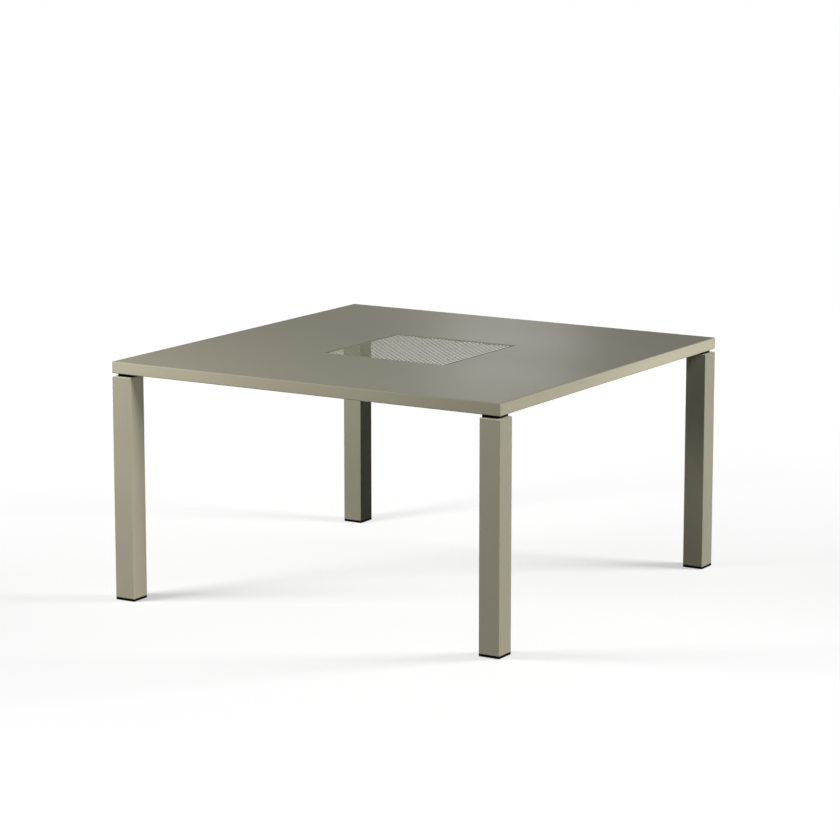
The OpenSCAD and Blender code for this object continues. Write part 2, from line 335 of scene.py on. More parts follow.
def copy_of(piece, name, turn=0, shift=(0, 0, 0)):
    """A copy with its own mesh, turned about the centre of the table and then shifted."""
    only(piece)
    bpy.ops.object.duplicate()
    twin = bpy.context.object
    twin.rotation_euler = (0, 0, math.radians(turn))
    twin.location = shift
    return settle(twin, name)


def mirrored(piece, name):
    """A copy on the other side of the middle, from front to back."""
    only(piece)
    bpy.ops.object.duplicate()
    twin = bpy.context.object
    twin.scale = (1, -1, 1)
    settle(twin, name)
    edit(twin)
    bpy.ops.mesh.select_all(action="SELECT")
    bpy.ops.mesh.normals_make_consistent(inside=False)
    done()
    return twin


def joined(pieces, name):
    """Several meshes as one piece."""
    bpy.ops.object.select_all(action="DESELECT")
    for piece in pieces:
        piece.select_set(True)
    bpy.context.view_layer.objects.active = pieces[0]
    if len(pieces) > 1:
        bpy.ops.object.join()
    return settle(bpy.context.object, name)


def drill(piece, spots, low, high, diameter, sides=24):
    """Cuts upright round holes."""
    bits = [round_bar("bit", spot, low, high, diameter, sides) for spot in spots]
    cutter = joined(bits, "cutter")
    modify(piece, "BOOLEAN", operation="DIFFERENCE", object=cutter, solver="EXACT")
    bpy.data.objects.remove(cutter)


def outline(name, points):
    """An open outline: one vertex, then an extrusion for each step."""
    bpy.ops.object.select_all(action="DESELECT")
    bpy.ops.mesh.primitive_plane_add(size=1, location=points[0])
    piece = settle(bpy.context.object, name)
    bpy.ops.object.mode_set(mode="EDIT")
    bpy.ops.mesh.select_mode(type="VERT")
    bpy.ops.mesh.select_all(action="SELECT")
    bpy.ops.mesh.merge(type="CENTER")
    for here, there in zip(points, points[1:]):
        step = Vector(there) - Vector(here)
        bpy.ops.mesh.extrude_vertices_move(TRANSFORM_OT_translate={"value": step})
    done()
    return piece


def threaded_rod(name, spot, low, high, diameter, pitch, steps=18):
    """A rod with a cut thread, flat at both ends."""
    crest = diameter / 2
    root = crest - THREAD_DEPTH * pitch
    turns = math.ceil((high - low) / pitch) + 2
    corners = ((root, 0), (crest, CREST_START), (crest, CREST_END), (root, 1))
    tooth = [(reach, 0, share * pitch) for reach, share in corners]
    piece = outline(name, tooth)
    modify(
        piece,
        "SCREW",
        angle=math.tau,
        screw_offset=pitch,
        iterations=turns,
        steps=steps,
        render_steps=steps,
        use_merge_vertices=True,
        merge_threshold=TINY,
    )
    piece.location = (spot[0], spot[1], low - pitch)
    settle(piece)
    for height, upper in ((low, False), (high, True)):
        edit(piece)
        bpy.ops.mesh.select_all(action="SELECT")
        bpy.ops.mesh.bisect(
            plane_co=(spot[0], spot[1], height),
            plane_no=(0, 0, 1),
            use_fill=True,
            clear_inner=not upper,
            clear_outer=upper,
        )
        done()
    edit(piece)
    bpy.ops.mesh.select_all(action="SELECT")
    bpy.ops.mesh.normals_make_consistent(inside=False)
    done()
    return piece


# Finishes

class Recipe:
    """A material in the making, with short ways to add and join its nodes."""

    def __init__(self, name):
        """A new material with its shader and the object's own coordinates."""
        self.material = bpy.data.materials.new(name)
        self.material.use_nodes = True
        self.tree = self.material.node_tree
        self.shader = self.tree.nodes["Principled BSDF"]
        self.place = self.add("ShaderNodeTexCoord").outputs["Object"]

    def add(self, kind, **settings):
        """Adds a node and sets it."""
        node = self.tree.nodes.new(kind)
        for name, value in settings.items():
            setattr(node, name, value)
        return node

    def link(self, start, end):
        """Joins an output to an input."""
        self.tree.links.new(start, end)

    def set(self, **values):
        """Sets values that are the same all over the piece, straight on the shader."""
        for name, value in values.items():
            self.shader.inputs[name.replace("_", " ")].default_value = value

    def stretched(self, x, y, z):
        """The object's own coordinates, stretched along each axis."""
        node = self.add("ShaderNodeMapping")
        node.inputs["Scale"].default_value = (x, y, z)
        self.link(self.place, node.inputs["Vector"])
        return node.outputs["Vector"]

    def noise(self, scale, detail=2, roughness=0.5, place=None):
        """Soft random grey, with about this many blotches to the metre."""
        node = self.add("ShaderNodeTexNoise")
        node.inputs["Scale"].default_value = scale
        node.inputs["Detail"].default_value = detail
        node.inputs["Roughness"].default_value = roughness
        self.link(place or self.place, node.inputs["Vector"])
        return node.outputs["Fac"]

    def cells(self, scale):
        """Grey that rises from the middle of each cell to its rim."""
        node = self.add("ShaderNodeTexVoronoi", feature="F1")
        node.inputs["Scale"].default_value = scale
        self.link(self.place, node.inputs["Vector"])
        return node.outputs["Distance"]

    def between(self, grey, low, high):
        """Spreads a noise over a range of values."""
        node = self.add("ShaderNodeMapRange", clamp=True)
        node.inputs["From Min"].default_value = NOISE_LOW
        node.inputs["From Max"].default_value = NOISE_HIGH
        node.inputs["To Min"].default_value = low
        node.inputs["To Max"].default_value = high
        self.link(grey, node.inputs["Value"])
        return node.outputs["Result"]

    def tint(self, grey, dark, light):
        """Runs from a dark to a light colour with a noise."""
        node = self.add("ShaderNodeValToRGB")
        node.color_ramp.elements[0].position = NOISE_LOW
        node.color_ramp.elements[0].color = (*dark, 1)
        node.color_ramp.elements[1].position = NOISE_HIGH
        node.color_ramp.elements[1].color = (*light, 1)
        self.link(grey, node.inputs["Fac"])
        return node.outputs["Color"]

    def sum(self, first, second, share=0.5):
        """Two greys together, with the share of the second."""
        node = self.add("ShaderNodeMix", data_type="FLOAT")
        node.inputs["Factor"].default_value = share
        self.link(first, node.inputs["A"])
        self.link(second, node.inputs["B"])
        return node.outputs["Result"]

    def maths(self, operation, first, second):
        """One step of arithmetic on two greys or numbers."""
        node = self.add("ShaderNodeMath", operation=operation)
        for value, socket in zip((first, second), node.inputs):
            if isinstance(value, (int, float)):
                socket.default_value = value
            else:
                self.link(value, socket)
        return node.outputs["Value"]

    def vectors(self, operation, first, second=None):
        """One step of arithmetic on a place, with a fixed one if it needs one, as a node."""
        node = self.add("ShaderNodeVectorMath", operation=operation)
        self.link(first, node.inputs[0])
        if second is not None:
            node.inputs[1].default_value = second
        return node

    def matt(self, grey):
        """A dull shader in one grey."""
        node = self.add("ShaderNodeBsdfDiffuse")
        node.inputs["Color"].default_value = (grey, grey, grey, 1)
        return node.outputs["BSDF"]

    def mixed(self, grey, first, second):
        """One shader where a grey is 0, and another where it is 1."""
        node = self.add("ShaderNodeMixShader")
        self.link(grey, node.inputs["Fac"])
        self.link(first, node.inputs[1])
        self.link(second, node.inputs[2])
        return node.outputs["Shader"]

    def colour(self, socket):
        """Colours the piece."""
        self.link(socket, self.shader.inputs["Base Color"])

    def gloss(self, socket):
        """Sets how dull the piece is."""
        self.link(socket, self.shader.inputs["Roughness"])

    def bumps(self, height, distance, strength=1.0):
        """Raises a fine grain on the surface."""
        node = self.add("ShaderNodeBump")
        node.inputs["Distance"].default_value = distance
        node.inputs["Strength"].default_value = strength
        self.link(height, node.inputs["Height"])
        self.link(node.outputs["Normal"], self.shader.inputs["Normal"])


def shade(colour, amount):
    """A colour made lighter or darker."""
    return tuple(c * amount for c in colour)


def powder_coat():
    """Satin olive-taupe coat: a fine even grain over a faint orange peel."""
    coat = (0.352, 0.333, 0.247)
    recipe = Recipe("powder_coat")
    grain = recipe.noise(1100, detail=2)
    drift = recipe.noise(3.5, detail=3)
    peel = recipe.noise(260, detail=1)
    recipe.colour(recipe.tint(recipe.sum(grain, drift, 0.45), shade(coat, 0.93), shade(coat, 1.07)))
    recipe.gloss(recipe.between(recipe.sum(grain, drift, 0.5), 0.46, 0.54))
    recipe.bumps(recipe.sum(grain, peel, 0.6), 0.035 * MM)
    recipe.set(IOR=1.5, Specular_IOR_Level=0.15, Specular_Tint=(1, 0.95, 0.87, 1), Metallic=0.0)
    return recipe.material


def black_plastic():
    """Moulded black plastic with a fine spark-eroded grain."""
    black = (0.0018, 0.0017, 0.0015)
    recipe = Recipe("black_plastic")
    grain = recipe.cells(1500)
    cloud = recipe.noise(90, detail=3)
    recipe.colour(recipe.tint(cloud, shade(black, 0.8), shade(black, 1.3)))
    recipe.gloss(recipe.between(cloud, 0.46, 0.60))
    recipe.bumps(grain, 0.03 * MM)
    recipe.set(IOR=1.49, Specular_IOR_Level=0.03, Metallic=0.0)
    return recipe.material


def black_rubber():
    """Soft black rubber, dull and a little dusty."""
    recipe = Recipe("black_rubber")
    dust = recipe.noise(160, detail=5, roughness=0.65)
    recipe.colour(recipe.tint(dust, (0.010, 0.010, 0.010), (0.024, 0.023, 0.022)))
    recipe.gloss(recipe.between(dust, 0.68, 0.86))
    recipe.bumps(recipe.noise(900, detail=2), 0.05 * MM)
    recipe.set(IOR=1.52, Metallic=0.0)
    return recipe.material


def cast_aluminium():
    """Sand-cast aluminium: coarse skin with small pits."""
    recipe = Recipe("cast_aluminium")
    skin = recipe.noise(420, detail=5, roughness=0.6)
    stain = recipe.noise(28, detail=3)
    recipe.colour(recipe.tint(stain, (0.47, 0.47, 0.46), (0.60, 0.60, 0.59)))
    recipe.gloss(recipe.between(recipe.sum(skin, stain), 0.44, 0.62))
    recipe.bumps(recipe.sum(skin, recipe.cells(240), 0.35), 0.16 * MM)
    recipe.set(Metallic=1.0)
    return recipe.material


def zinc_steel():
    """Zinc-plated steel with faint turning marks and a cool cast."""
    recipe = Recipe("zinc_steel")
    turning = recipe.noise(60, detail=2, place=recipe.stretched(1, 1, 40))
    bloom = recipe.noise(120, detail=3)
    recipe.colour(recipe.tint(bloom, (0.55, 0.57, 0.60), (0.68, 0.69, 0.68)))
    recipe.gloss(recipe.between(recipe.sum(turning, bloom), 0.26, 0.42))
    recipe.bumps(turning, 0.012 * MM)
    recipe.set(Metallic=1.0)
    return recipe.material


def brass():
    """Turned brass, slightly tarnished."""
    recipe = Recipe("brass")
    turning = recipe.noise(60, detail=2, place=recipe.stretched(1, 1, 50))
    tarnish = recipe.noise(180, detail=4)
    recipe.colour(recipe.tint(tarnish, (0.50, 0.35, 0.13), (0.66, 0.49, 0.21)))
    recipe.gloss(recipe.between(recipe.sum(turning, tarnish), 0.24, 0.40))
    recipe.bumps(turning, 0.01 * MM)
    recipe.set(Metallic=1.0)
    return recipe.material


FINISHES = {
    "powder_coat": powder_coat(),
    "black_plastic": black_plastic(),
    "black_rubber": black_rubber(),
    "cast_aluminium": cast_aluminium(),
    "zinc_steel": zinc_steel(),
    "brass": brass(),
}


def hand_over(piece, finish, nodes=(), body="table"):
    """Gives a finished piece its coat and its body, and lets it stand for its CAD nodes."""
    piece.data.materials.clear()
    piece.data.materials.append(FINISHES[finish])
    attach(piece, body)
    if nodes:
        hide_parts(*nodes)
    return piece


def hand_over_corners(piece, name, finish, node, body="table"):
    """Hands over a piece of the back right corner, and its copies at the other three."""
    for corner, turn in CORNERS.items():
        rides_on = body + "_" + corner if body == "glide" else body
        twin = copy_of(piece, name + "_" + corner, turn)
        hand_over(twin, finish, [node + "_" + corner], rides_on)
    bpy.data.objects.remove(piece)


# The top

def make_tabletop():
    """One folded sheet: flat face, folded edge, return lips and the square opening."""
    piece = block("tabletop", (-half, -half, under_z), (half, half, top_z))
    edit(piece)
    pick_edges(piece, lambda a, b: abs(a.z - b.z) < TINY)
    bevel(FOLD_R, 6)
    for facing, kept in ((1, opening), (-1, lip_in)):
        pick_faces(piece, lambda middle, normal: normal.z * facing > STRAIGHT)
        bpy.ops.mesh.inset(thickness=half - FOLD_R - kept, depth=0)
        bpy.ops.mesh.delete(type="FACE")
    done()
    modify(piece, "SOLIDIFY", thickness=sheet, offset=-1, use_even_offset=True)
    edit(piece)
    pick_edges(piece, lambda a, b: is_upright(a, b) and abs(a.x) > half - TINY)
    bevel(CORNER_R, 3)
    done()
    drill(piece, all_round(rivet_spots), under_z - OVER, under_z + sheet + OVER, RIVET_D)
    soften(piece, FINE_EDGE, angle=50)
    smooth(piece)
    hand_over(piece, "powder_coat", ["top_panel"])


def make_box_tube(name, low, high, wall, edge_r):
    """A square tube between two corners, open at the ends of its longest side."""
    piece = block(name, low, high)
    size = high - low
    along = max(range(3), key=lambda axis: size[axis])
    across = [axis for axis in range(3) if axis != along]
    edit(piece)
    pick_faces(piece, lambda middle, normal: abs(normal[along]) > STRAIGHT)
    bpy.ops.mesh.delete(type="FACE")
    done()
    modify(piece, "SOLIDIFY", thickness=wall, offset=-1, use_even_offset=True)
    middle = (low + high) / 2

    def outside(point):
        """True for a point on an outer long edge, but not on an inner one."""
        return all(abs(point[axis] - middle[axis]) > size[axis] / 2 - TINY for axis in across)

    edit(piece)
    pick_edges(piece, lambda a, b: outside(a) and outside(b))
    bevel(edge_r, 3)
    done()
    return piece


def make_rails():
    """Rails behind the four edges."""
    rail = make_box_tube("rail", rail_low, rail_high, TUBE_WALL, TUBE_R)
    soften(rail, TUBE_EDGE, angle=50, segments=1)
    smooth(rail)
    for side, turn in SIDES.items():
        hand_over(copy_of(rail, "rail_tube_" + side, turn), "powder_coat", ["rail_" + side])
    bpy.data.objects.remove(rail)


def make_ribs():
    """Two long ribs from rail to rail, and two short ones between them."""
    for low, high, sides in (
        (long_rib_low, long_rib_high, ("right", "left")),
        (short_rib_low, short_rib_high, ("back", "front")),
    ):
        rib = make_box_tube("rib", low, high, TUBE_WALL, TUBE_R)
        soften(rib, TUBE_EDGE, angle=50, segments=1)
        smooth(rib)
        for side, turn in zip(sides, (0, 180)):
            hand_over(copy_of(rib, "rib_tube_" + side, turn), "powder_coat", ["rib_" + side])
        bpy.data.objects.remove(rib)


def weld_bead(start, end, width):
    """A row of overlapping ripples from one point to another."""
    start, end = Vector(start), Vector(end)
    step = width * RIPPLE_STEP
    count = round((end - start).length / step)
    bpy.ops.object.select_all(action="DESELECT")
    bpy.ops.mesh.primitive_uv_sphere_add(segments=8, ring_count=6, radius=width / 2)
    ripple = settle(bpy.context.object, "ripple")
    row = [copy_of(ripple, "ripple", 0, start.lerp(end, i / count)) for i in range(count + 1)]
    bpy.data.objects.remove(ripple)
    return joined(row, "bead")


def make_weld_beads():
    """Welds at the ends of the ribs."""
    rail_face = long_rib_high.y
    left, right = long_rib_low.x, long_rib_high.x
    low, high = long_rib_low.z, long_rib_high.z
    front, back = short_rib_low.y, short_rib_high.y
    inner = short_rib_high.x
    beads = [weld_bead((left, rail_face, low), (right, rail_face, low), BEAD_W)]
    for x in (left, right):
        beads.append(weld_bead((x, rail_face, low), (x, rail_face, high), BEAD_W))
    for y in (front, back):
        beads.append(weld_bead((inner, y, low + BEAD_W), (inner, y, high), BEAD_W))
    corner = joined(beads, "corner_beads")
    smooth(corner, 60)
    right_side = [corner, mirrored(corner, "front_corner_beads")]
    side = joined(right_side, "side_beads")
    both = [side, copy_of(side, "other_side_beads", 180)]
    hand_over(joined(both, "weld_beads"), "powder_coat")


def make_castings():
    """Cast corner brackets: a thick base, two walls with fillets, and tapped holes."""
    low, high = casting_low, casting_high
    floor_z = low.z + CASTING_BASE
    wall_x, wall_y = low.x + CASTING_WALL, low.y + CASTING_WALL
    piece = block("casting", low, (high.x, high.y, floor_z))
    edit(piece)
    for point, normal in (((wall_x, 0, 0), (1, 0, 0)), ((0, wall_y, 0), (0, 1, 0))):
        bpy.ops.mesh.select_all(action="SELECT")
        bpy.ops.mesh.bisect(plane_co=point, plane_no=normal)
    pick_faces(
        piece,
        lambda middle, normal: normal.z > STRAIGHT and (middle.x < wall_x or middle.y < wall_y),
    )
    push(z=high.z - floor_z)

    def in_corner(point):
        """True where a wall meets the base inside."""
        by_wall = abs(point.x - wall_x) < TINY or abs(point.y - wall_y) < TINY
        inside = point.x > wall_x - TINY and point.y > wall_y - TINY
        return by_wall and inside and abs(point.z - floor_z) < TINY

    pick_edges(piece, lambda a, b: in_corner(a) and in_corner(b))
    bevel(CASTING_FILLET, 3)
    done()
    drill(piece, bolt_spots, low.z - OVER, floor_z + OVER, BOLT_D)
    soften(piece, CASTING_EDGE, angle=50)
    smooth(piece, 40)
    hand_over_corners(piece, "casting", "cast_aluminium", "corner_bracket")


def make_rivets():
    """Blind rivets with domed heads, the broken pin in each, and a set end in the rail."""
    spot = Vector((0, rivet_y, 0))
    rivet = round_bar("rivet", spot, rivet_low.z, under_z, RIVET_HEAD_D, 24)
    edit(rivet)
    pick_edges(rivet, lambda a, b: max(a.z, b.z) < rivet_low.z + TINY)
    bevel(RIVET_DOME, 4)
    pick_faces(rivet, lambda middle, normal: normal.z < -STRAIGHT)
    bpy.ops.mesh.inset(thickness=RIVET_HEAD_D / 2 - RIVET_DOME - RIVET_PIN_R, depth=0)
    push(z=RIVET_PIN_HOLE)
    bpy.ops.mesh.inset(thickness=RIVET_PIN_RIM, depth=0)
    push(z=-RIVET_PIN_STUB)
    pick_faces(rivet, lambda middle, normal: normal.z > STRAIGHT)
    bpy.ops.mesh.inset(thickness=(RIVET_HEAD_D - RIVET_D) / 2, depth=0)
    push(z=sheet + TUBE_WALL)
    swell = RIVET_SET_D / RIVET_D
    push()
    set_z = rail_low.z + TUBE_WALL
    bpy.ops.transform.resize(value=(swell, swell, 1), center_override=(spot.x, spot.y, set_z))
    push(z=RIVET_SET_H)
    done()
    smooth(rivet)
    row = joined([copy_of(rivet, "rivet", 0, (x, 0, 0)) for x, y in rivet_spots], "rivet_row")
    bpy.data.objects.remove(rivet)
    rows = [copy_of(row, "rivet_row", turn) for turn in SIDES.values()]
    bpy.data.objects.remove(row)
    hand_over(joined(rows, "rivets"), "zinc_steel", ["lip_rivets"])


# The legs and feet

def make_legs():
    """Square leg tubes with a fine broken edge at each end."""
    piece = make_box_tube("leg", leg_low, leg_high, LEG_WALL, LEG_R)
    reach = (leg_high.x - leg_low.x) / 2 - LEG_WALL / 2

    def on_rim(a, b):
        """True for an outer edge at either end of the leg."""
        at_end = max(a.z, b.z) < leg_low.z + TINY or min(a.z, b.z) > leg_high.z - TINY
        outer = all(max(abs(p.x - leg_centre), abs(p.y - leg_centre)) > reach for p in (a, b))
        return at_end and outer

    edit(piece)
    pick_edges(piece, on_rim)
    bevel(LEG_EDGE, 2)
    done()
    smooth(piece)
    hand_over_corners(piece, "leg", "powder_coat", "leg_tube")


def make_spacers():
    """Black spacers on the legs, each with a key between the lips and four bolt holes."""
    piece = block("spacer", spacer_low, (spacer_high.x, spacer_high.y, under_z))
    edit(piece)
    pick_edges(piece, is_upright)
    bevel(SPACER_R, 3)
    for point, normal in (((key_out, 0, 0), (1, 0, 0)), ((0, key_out, 0), (0, 1, 0))):
        bpy.ops.mesh.select_all(action="SELECT")
        bpy.ops.mesh.bisect(plane_co=point, plane_no=normal)
    pick_faces(
        piece,
        lambda middle, normal: normal.z > STRAIGHT and max(middle.x, middle.y) < key_out,
    )
    push(z=spacer_high.z - under_z)
    done()
    drill(piece, bolt_spots, spacer_low.z - OVER, spacer_high.z + OVER, BOLT_HOLE_D)
    soften(piece, MOULDED_EDGE, angle=50)
    smooth(piece)
    hand_over_corners(piece, "leg_spacer", "black_plastic", "spacer")


def softened_copy(node, name, width):
    """A merged copy of a CAD piece with the sharpness taken off its edges."""
    piece = bpy.data.objects.new(name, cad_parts[node].data.copy())
    bpy.context.scene.collection.objects.link(piece)
    only(piece)
    bpy.ops.mesh.customdata_custom_splitnormals_clear()
    edit(piece)
    bpy.ops.mesh.select_all(action="SELECT")
    bpy.ops.mesh.remove_doubles(threshold=TINY)
    bpy.ops.mesh.dissolve_limited(angle_limit=math.radians(0.5))
    done()
    soften(piece, width, angle=35)
    smooth(piece)
    return piece


def make_foot_caps():
    """Black caps in the feet of the legs."""
    piece = softened_copy("foot_cap_back_right", "cap", MOULDED_EDGE)
    hand_over_corners(piece, "foot", "black_plastic", "foot_cap")


def make_glides():
    """Round pads on threaded studs, which wind out of the feet."""
    spot = (leg_centre, leg_centre)
    pad = round_bar("pad", spot, pad_low.z, pad_high.z, pad_high.x - pad_low.x, 64)
    edit(pad)
    pick_faces(pad, lambda middle, normal: normal.z > STRAIGHT)
    bpy.ops.mesh.inset(thickness=(pad_high.x - pad_low.x - STUD_FOOT_D) / 2, depth=0)
    push(z=-STUD_FOOT_T)
    pick_edges(pad, lambda a, b: max(a.z, b.z) < pad_low.z + TINY)
    bevel(PAD_R, 3)
    done()
    soften(pad, PAD_EDGE, angle=50)
    smooth(pad)
    hand_over_corners(pad, "pad", "black_plastic", "glide_pad", "glide")

    foot = round_bar("disc", spot, stud_low.z, stud_low.z + STUD_FOOT_T, STUD_FOOT_D, 48)
    soften(foot, FINE_EDGE, angle=50)
    smooth(foot)
    rod = threaded_rod("rod", spot, pad_high.z - OVER, stud_high.z, STUD_D, STUD_PITCH)
    smooth(rod, 25)
    stud = joined([foot, rod], "stud")
    hand_over_corners(stud, "stud", "zinc_steel", "glide_stud", "glide")


# The grille and what it rests on

def make_grille():
    """Round rods with welded ends, and a bar across each end."""
    length = rods_high.y - rods_low.y
    bpy.ops.object.select_all(action="DESELECT")
    bpy.ops.mesh.primitive_cylinder_add(
        vertices=20,
        radius=ROD_D / 2,
        depth=length,
        location=(0, 0, top_z - ROD_D / 2),
        rotation=(math.radians(90), 0, 0),
    )
    rod = settle(bpy.context.object, "rod")
    edit(rod)
    for end in (-1, 1):
        bpy.ops.mesh.select_all(action="SELECT")
        bpy.ops.mesh.bisect(plane_co=(0, end * (length / 2 - ROD_WELD), 0), plane_no=(0, 1, 0))
    pick_faces(rod, lambda middle, normal: abs(normal.y) > STRAIGHT)
    bpy.ops.transform.resize(value=(ROD_SWELL, 1, 1), center_override=(0, 0, top_z - ROD_D / 2))
    done()
    smooth(rod)
    each_side = round((rods_high.x - rods_low.x) / 2 / ROD_PITCH)
    rods = [copy_of(rod, "rod", 0, (i * ROD_PITCH, 0, 0)) for i in range(-each_side, each_side + 1)]
    bpy.data.objects.remove(rod)
    hand_over(joined(rods, "rods"), "powder_coat", ["grille_rods"], "grille")
    bar = block("bar", bar_low, bar_high)
    soften(bar, BAR_EDGE, segments=3)
    smooth(bar)
    for side, turn in (("back", 0), ("front", 180)):
        twin = copy_of(bar, "end_bar_" + side, turn)
        hand_over(twin, "powder_coat", ["grille_bar_" + side], "grille")
    bpy.data.objects.remove(bar)


def at_shelves(piece, name):
    """A piece at the middle of the back of the opening, copied to all six brackets."""
    row = joined([copy_of(piece, name, 0, (x, 0, 0)) for x in shelf_spots], name)
    bpy.data.objects.remove(piece)
    return joined([row, copy_of(row, name, 180)], name)


def make_shelves():
    """Bent brackets under the opening's edges, with their rests, weld studs and nuts."""
    seat_z = rest_low.z
    under = rail_high.z
    web = opening + WEB_SET_BACK
    reach = shelf_high.y
    rest_out = -rest_low.y
    rest_in = rest_out - REST_DEEP
    bend = [(rest_in, seat_z), (web, seat_z), (web, under), (reach, under)]
    plate = outline("shelf", [(-SHELF_W / 2, y, z) for y, z in bend])
    edit(plate, "EDGE")
    bpy.ops.mesh.select_all(action="SELECT")
    bpy.ops.mesh.extrude_edges_move(TRANSFORM_OT_translate={"value": (SHELF_W, 0, 0)})
    done()
    modify(plate, "SOLIDIFY", thickness=SHELF_T, offset=1, use_even_offset=True)
    studs = [(x, weld_stud_y) for x in (-WELD_STUD_SPAN / 2, WELD_STUD_SPAN / 2)]
    drill(plate, studs, under - SHELF_T - OVER, under + OVER, WELD_STUD_D + WELD_STUD_GAP)
    soften(plate, SHELF_EDGE, angle=50)
    smooth(plate)
    hand_over(at_shelves(plate, "grille_shelves"), "powder_coat", ["grille_brackets"])

    rest = block("rest", (-REST_W / 2, rest_in, rest_low.z), (REST_W / 2, rest_out, rest_high.z))
    soften(rest, FINE_EDGE)
    smooth(rest)
    hand_over(at_shelves(rest, "rubber_rests"), "black_rubber", ["grille_rests"])

    rods = [
        threaded_rod("stud", spot, weld_stud_low.z, under, WELD_STUD_D, WELD_STUD_PITCH, 12)
        for spot in studs
    ]
    pair = joined(rods, "stud_pair")
    smooth(pair, 25)
    hand_over(at_shelves(pair, "weld_studs"), "zinc_steel", ["bracket_studs"])

    across = NUT_FLATS / math.cos(math.radians(30))
    nuts = []
    for spot in studs:
        nut = round_bar("nut", spot, nut_low.z, nut_high.z, across, 6)
        drill(nut, [spot], nut_low.z - OVER, nut_high.z + OVER, WELD_STUD_D)
        soften(nut, FINE_EDGE, angle=50)
        nuts.append(nut)
    pair = joined(nuts, "nut_pair")
    smooth(pair)
    hand_over(at_shelves(pair, "hex_nuts"), "zinc_steel", ["bracket_nuts"])


def finish_cad_pieces():
    """Finishes for the CAD pieces that keep their own shape."""
    for start, finish in (
        ("leg_plate", "powder_coat"),
        ("leg_bolts", "zinc_steel"),
        ("leg_washers", "zinc_steel"),
        ("foot_insert", "brass"),
    ):
        for name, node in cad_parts.items():
            if name.startswith(start):
                node.data.materials.clear()
                node.data.materials.append(FINISHES[finish])


# The camera and the studio

def make_camera():
    """The camera at the photograph's viewing angle."""
    camera = bpy.data.objects.new("camera", bpy.data.cameras.new("camera"))
    bpy.context.scene.collection.objects.link(camera)
    camera.location = CAMERA_SPOT
    camera.rotation_euler = (math.radians(CAMERA_TILT), 0, math.radians(CAMERA_TURN))
    camera.data.lens = LENS
    camera.data.sensor_width = SENSOR_W
    camera.data.clip_end = CAMERA_REACH
    bpy.context.scene.camera = camera


def light_seen(tree):
    """A grey that is 1 for what is seen, also in a gloss or through glass, and 0 for bounced light."""
    path = tree.nodes.new("ShaderNodeLightPath")
    seen = path.outputs["Is Camera Ray"]
    for ray in ("Is Glossy Ray", "Is Transmission Ray"):
        either = tree.nodes.new("ShaderNodeMath")
        either.operation = "MAXIMUM"
        tree.links.new(seen, either.inputs[0])
        tree.links.new(path.outputs[ray], either.inputs[1])
        seen = either.outputs["Value"]
    return seen


def make_world():
    """White at the horizon and greyer overhead where it is seen, also in a gloss, and else no light."""
    world = bpy.data.worlds.new("studio")
    bpy.context.scene.world = world
    world.use_nodes = True
    tree = world.node_tree
    way = tree.nodes.new("ShaderNodeTexCoord")
    parts = tree.nodes.new("ShaderNodeSeparateXYZ")
    tree.links.new(way.outputs["Generated"], parts.inputs["Vector"])
    fade = tree.nodes.new("ShaderNodeMapRange")
    fade.interpolation_type = "SMOOTHSTEP"
    fade.inputs["From Min"].default_value = FADE_FROM
    fade.inputs["From Max"].default_value = FADE_TO
    fade.inputs["To Min"].default_value = 1
    fade.inputs["To Max"].default_value = FADE_GREY
    tree.links.new(parts.outputs["Z"], fade.inputs["Value"])
    background = tree.nodes["Background"]
    tree.links.new(fade.outputs["Result"], background.inputs["Color"])
    tree.links.new(light_seen(tree), background.inputs["Strength"])


def make_lamp(name, kind, spot, power, **shape):
    """A lamp at a spot, turned to the middle of the table and not seen itself."""
    data = bpy.data.lights.new(name, kind)
    data.energy = power
    for setting, value in shape.items():
        setattr(data, setting, value)
    lamp = bpy.data.objects.new(name, data)
    bpy.context.scene.collection.objects.link(lamp)
    lamp.location = spot
    way = Vector(spot) - LAMP_AIM
    lamp.rotation_euler = way.to_track_quat("Z", "Y").to_euler()
    lamp.visible_camera = False
    lamp.visible_glossy = False
    return lamp


def shine(lamp, pieces, state):
    """Keeps a lamp's light to some pieces alone (INCLUDE), or off them (EXCLUDE)."""
    group = bpy.data.collections.new(lamp.name + "_reach")
    for piece in pieces:
        group.objects.link(piece)
    for member in group.collection_objects:
        member.light_linking.link_state = state
    lamp.light_linking.receiver_collection = group


def lamp_share(recipe, spot, power):
    """How bright a lamp makes the open floor, by its distance and its angle."""
    way = (LAMP_AIM - Vector(spot)).normalized()
    away = recipe.vectors("SUBTRACT", recipe.place, spot).outputs["Vector"]
    distance = recipe.vectors("LENGTH", away).outputs["Value"]
    ahead = recipe.maths("MAXIMUM", recipe.vectors("DOT_PRODUCT", away, way).outputs["Value"], 0.0)
    strength = recipe.maths("MULTIPLY", ahead, FLOOR_GREY * power * spot[2] / math.pi ** 2)
    return recipe.maths("MULTIPLY", recipe.maths("POWER", distance, -4.0), strength)


